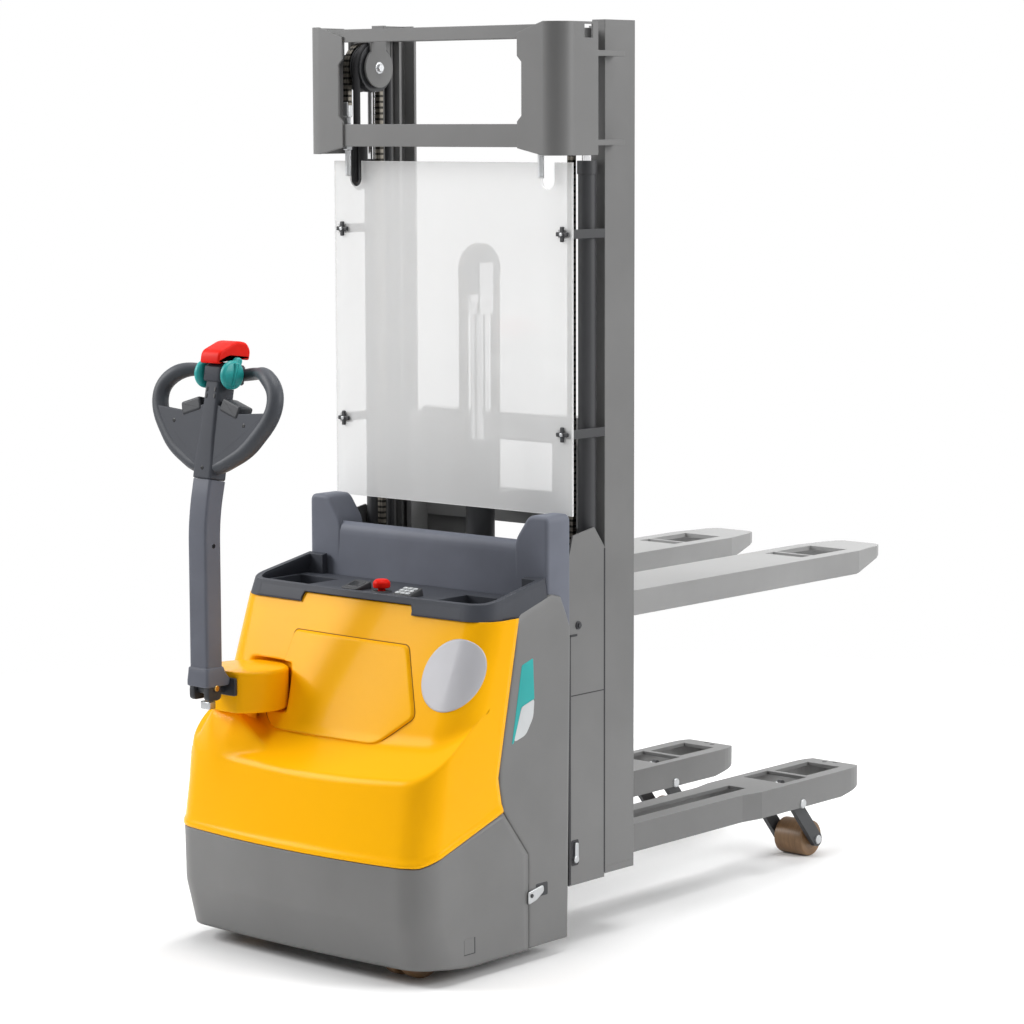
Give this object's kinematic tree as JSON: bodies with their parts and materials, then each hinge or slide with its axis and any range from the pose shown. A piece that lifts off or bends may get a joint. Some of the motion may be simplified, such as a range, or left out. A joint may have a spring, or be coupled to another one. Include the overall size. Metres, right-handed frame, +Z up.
{
  "type": "electric double stacker",
  "caption": "Pedestrian electric double stacker with an offset tiller, raised support arms, a three-stage mast with forks, a clear screen and a yellow hood.",
  "frame": {"origin": "on the floor, under the middle of the box round everything, which is 14.6 mm to the left of the truck's centre plane because the tiller stands left of it", "axes": "+Z up, +Y towards the fork tips, +X to the truck's right when facing the fork tips"},
  "size_m": [0.7612, 1.846, 1.962],
  "materials": {
    "yellow_paint": "gloss orange-yellow paint",
    "grey_paint": "satin mid-grey powder coat",
    "anthracite_plastic": "fine-grained anthracite plastic",
    "red_plastic": "gloss red plastic",
    "teal_plastic": "satin teal plastic",
    "panel_plastic": "smooth light keypad film",
    "bright_steel": "bright zinc-plated steel",
    "rod_chrome": "polished chrome rod",
    "dark_steel": "dark charcoal painted steel",
    "black_rubber": "black hose rubber",
    "tyre_brown": "brown polyurethane tread",
    "clear_sheet": "slightly hazy clear sheet",
    "battery_case": "black battery case"
  },
  "bodies": {
    "drive_section": {"chassis_frame": "grey_paint", "front_apron": "grey_paint", "front_hood": "yellow_paint", "hood_hatch": "yellow_paint", "side_panel_left": "grey_paint", "side_panel_right": "grey_paint", "console_deck": "anthracite_plastic", "console_panels": "panel_plastic", "side_latches": "bright_steel", "hydraulic_unit": "dark_steel", "motor_controller": "battery_case", "initial_lift_barrel": "dark_steel", "steering_chain": "dark_steel"},
    "estop": {"estop_button": "red_plastic"},
    "steering": {"steering_head": "yellow_paint", "tiller_bracket": "dark_steel"},
    "drive_unit": {"drive_motor": "dark_steel", "drive_gearbox": "dark_steel"},
    "drive_tyre": {"drive_wheel": "tyre_brown"},
    "tiller": {"tiller_column": "anthracite_plastic", "tiller_head": "anthracite_plastic", "tiller_grips": "anthracite_plastic"},
    "belly": {"belly_button": "red_plastic"},
    "travel": {"travel_switch": "teal_plastic"},
    "rocker_l": {"rocker_left": "anthracite_plastic"},
    "rocker_r": {"rocker_right": "anthracite_plastic"},
    "castor": {"castor_fork": "dark_steel"},
    "castor_pair": {"castor_wheels": "tyre_brown"},
    "load_section": {"outer_rail_left": "grey_paint", "outer_rail_right": "grey_paint", "mast_foot": "grey_paint", "support_arm_left": "grey_paint", "support_arm_right": "grey_paint", "mast_cover_left": "grey_paint", "mast_cover_right": "grey_paint", "upright_panel": "anthracite_plastic", "head_guard": "grey_paint", "screen": "clear_sheet", "mast_fasteners": "bright_steel", "battery_pack": "battery_case", "lift_cylinders": "dark_steel", "initial_lift_rod": "rod_chrome"},
    "push_rod_pair": {"push_rods": "bright_steel"},
    "link_left": {"load_link_left": "dark_steel"},
    "link_right": {"load_link_right": "dark_steel"},
    "roller_left": {"load_wheel_left": "tyre_brown"},
    "roller_right": {"load_wheel_right": "tyre_brown"},
    "middle_stage": {"middle_mast": "grey_paint", "lift_rods": "rod_chrome", "lift_chains": "dark_steel", "hoses": "black_rubber"},
    "sheaves": {"chain_sheaves": "dark_steel"},
    "inner_stage": {"inner_mast": "grey_paint", "free_lift_cylinder": "dark_steel"},
    "free_rod": {"free_lift_rod": "rod_chrome", "free_lift_chain": "dark_steel"},
    "free_sheave": {"free_lift_sheave": "dark_steel"},
    "carriage": {"fork_carriage": "grey_paint", "fork_left": "grey_paint", "fork_right": "grey_paint"}
  },
  "joints": [
    {"name": "estop_press", "type": "slide", "parent": "drive_section", "child": "estop", "axis": [0, 0, -1], "range_m": [0, 0.005]},
    {"name": "drive_steer", "type": "hinge", "parent": "drive_section", "child": "drive_unit", "pos_m": [-0.19436, -0.7, 0.1], "axis": [0, 0, 1], "range_deg": [-90, 90]},
    {"name": "tiller_steer", "type": "hinge", "parent": "drive_section", "child": "steering", "pos_m": [-0.19436, -0.777, 0.56], "axis": [0, 0, 1], "range_deg": [-90, 90]},
    {"name": "drive_roll", "type": "hinge", "parent": "drive_unit", "child": "drive_tyre", "pos_m": [-0.19436, -0.7, 0.1], "axis": [1, 0, 0], "continuous": true},
    {"name": "tiller_tilt", "type": "hinge", "parent": "steering", "child": "tiller", "pos_m": [-0.19436, -0.897, 0.573], "axis": [1, 0, 0], "range_deg": [0, 80], "stiffness_Nm_per_rad": 18, "springref_deg": -22.92},
    {"name": "belly_press", "type": "slide", "parent": "tiller", "child": "belly", "axis": [0, -0.1908, -0.9816], "range_m": [0, 0.006], "stiffness_N_per_m": 700, "springref_m": -0.006},
    {"name": "travel_turn", "type": "hinge", "parent": "tiller", "child": "travel", "pos_m": [-0.19436, -0.84732, 1.22787], "axis": [1, 0, 0], "range_deg": [-25, 25], "stiffness_Nm_per_rad": 1.6},
    {"name": "rocker_left_tip", "type": "hinge", "parent": "tiller", "child": "rocker_l", "pos_m": [-0.24993, -0.85194, 1.15169], "axis": [0, 0.9816, -0.1908], "range_deg": [-4, 4], "stiffness_Nm_per_rad": 0.8},
    {"name": "rocker_right_tip", "type": "hinge", "parent": "tiller", "child": "rocker_r", "pos_m": [-0.13879, -0.85194, 1.15169], "axis": [0, 0.9816, -0.1908], "range_deg": [-4, 4], "stiffness_Nm_per_rad": 0.8},
    {"name": "castor_swivel", "type": "hinge", "parent": "drive_section", "child": "castor", "pos_m": [0.25464, -0.718, 0.2], "axis": [0, 0, 1], "continuous": true},
    {"name": "castor_roll", "type": "hinge", "parent": "castor", "child": "castor_pair", "pos_m": [0.25464, -0.75, 0.0625], "axis": [1, 0, 0], "continuous": true},
    {"name": "initial_lift", "type": "slide", "parent": "drive_section", "child": "load_section", "axis": [0, 0, 1], "range_m": [-0.115, 0]},
    {"name": "link_left_swing", "type": "hinge", "parent": "load_section", "child": "link_left", "pos_m": [-0.17536, 0.582, 0.147], "axis": [1, 0, 0], "range_deg": [0, 53.3]},
    {"name": "link_right_swing", "type": "hinge", "parent": "load_section", "child": "link_right", "pos_m": [0.20464, 0.582, 0.147], "axis": [1, 0, 0], "range_deg": [0, 53.3]},
    {"name": "push_rods_slide", "type": "slide", "parent": "load_section", "child": "push_rod_pair", "axis": [0, 1, 0], "range_m": [-0.0358, 0]},
    {"name": "load_roll_left", "type": "hinge", "parent": "link_left", "child": "roller_left", "pos_m": [-0.17536, 0.673, 0.0425], "axis": [1, 0, 0], "continuous": true},
    {"name": "load_roll_right", "type": "hinge", "parent": "link_right", "child": "roller_right", "pos_m": [0.20464, 0.673, 0.0425], "axis": [1, 0, 0], "continuous": true},
    {"name": "mast_lift", "type": "slide", "parent": "load_section", "child": "middle_stage", "axis": [0, 0, 1], "range_m": [0, 0.9], "deforming": ["lift_chains", "hoses"]},
    {"name": "inner_lift", "type": "slide", "parent": "middle_stage", "child": "inner_stage", "axis": [0, 0, 1], "range_m": [0, 0.9]},
    {"name": "sheave_spin", "type": "hinge", "parent": "middle_stage", "child": "sheaves", "pos_m": [0.01464, -0.33, 1.867], "axis": [1, 0, 0], "range_deg": [0, 1040]},
    {"name": "fork_lift", "type": "slide", "parent": "free_rod", "child": "carriage", "axis": [0, 0, 1], "range_m": [-0.2585, 0.37], "deforming": ["free_lift_chain"]},
    {"name": "free_lift", "type": "slide", "parent": "inner_stage", "child": "free_rod", "axis": [0, 0, 1], "range_m": [-0.2585, 0.37]},
    {"name": "free_sheave_spin", "type": "hinge", "parent": "free_rod", "child": "free_sheave", "pos_m": [0.01464, -0.261, 1.43], "axis": [1, 0, 0], "range_deg": [-290, 410]}
  ],
  "couplings": [
    {"joint": "tiller_steer", "follows": "drive_steer", "ratio": 1},
    {"joint": "link_left_swing", "follows": "initial_lift", "rad_per_m": -8.089},
    {"joint": "link_right_swing", "follows": "initial_lift", "rad_per_m": -8.089},
    {"joint": "push_rods_slide", "follows": "initial_lift", "ratio": 0.3114},
    {"joint": "inner_lift", "follows": "mast_lift", "ratio": 1},
    {"joint": "sheave_spin", "follows": "mast_lift", "rad_per_m": 20},
    {"joint": "free_lift", "follows": "fork_lift", "ratio": 1},
    {"joint": "free_sheave_spin", "follows": "fork_lift", "rad_per_m": 19.23}
  ]
}
